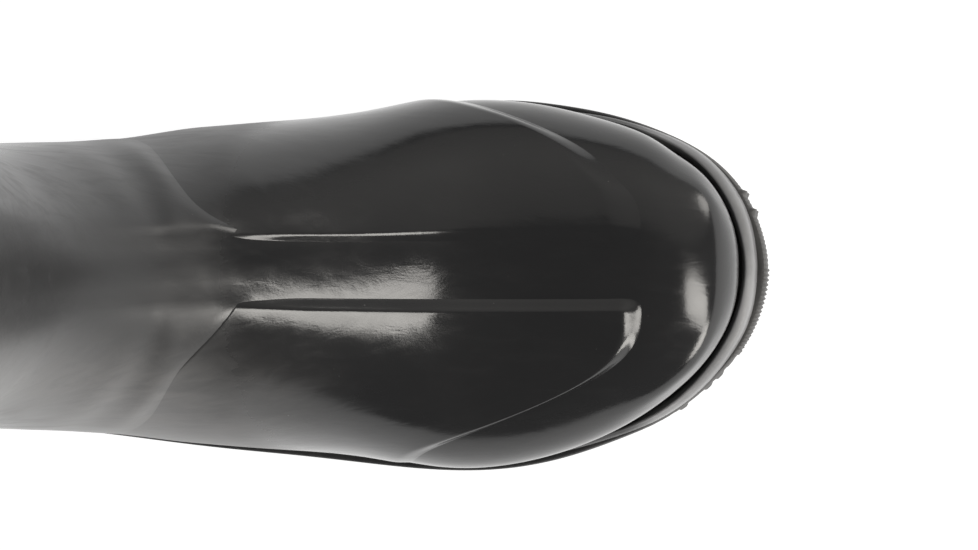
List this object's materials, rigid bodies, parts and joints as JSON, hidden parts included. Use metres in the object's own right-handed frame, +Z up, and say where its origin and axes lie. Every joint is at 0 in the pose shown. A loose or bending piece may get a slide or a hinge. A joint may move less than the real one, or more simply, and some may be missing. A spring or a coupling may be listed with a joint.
{
  "type": "rubber boot",
  "caption": "Knee-high black rubber boot for the right foot, with raised vamp panels, a smooth band round the joint and a lugged sole.",
  "frame": {"origin": "middle of the box round the boot, on the floor that the sole stands on", "axes": "+X towards the toe, +Y towards the inner (medial) side of the foot, +Z up the shaft"},
  "size_m": [0.305, 0.1142, 0.3821],
  "materials": {
    "upper_rubber": "semi-gloss black rubber with light dust",
    "insole_felt": "matt dark grey felt",
    "outsole_rubber": "matt black rubber",
    "foxing_rubber": "smooth satin dark grey rubber",
    "panel_rubber": "semi-gloss black rubber"
  },
  "bodies": {
    "root": {"upper": "upper_rubber", "insole": "insole_felt", "outsole": "outsole_rubber", "foxing": "foxing_rubber", "vamp_panel_medial": "panel_rubber", "vamp_panel_lateral": "panel_rubber"}
  },
  "joints": []
}
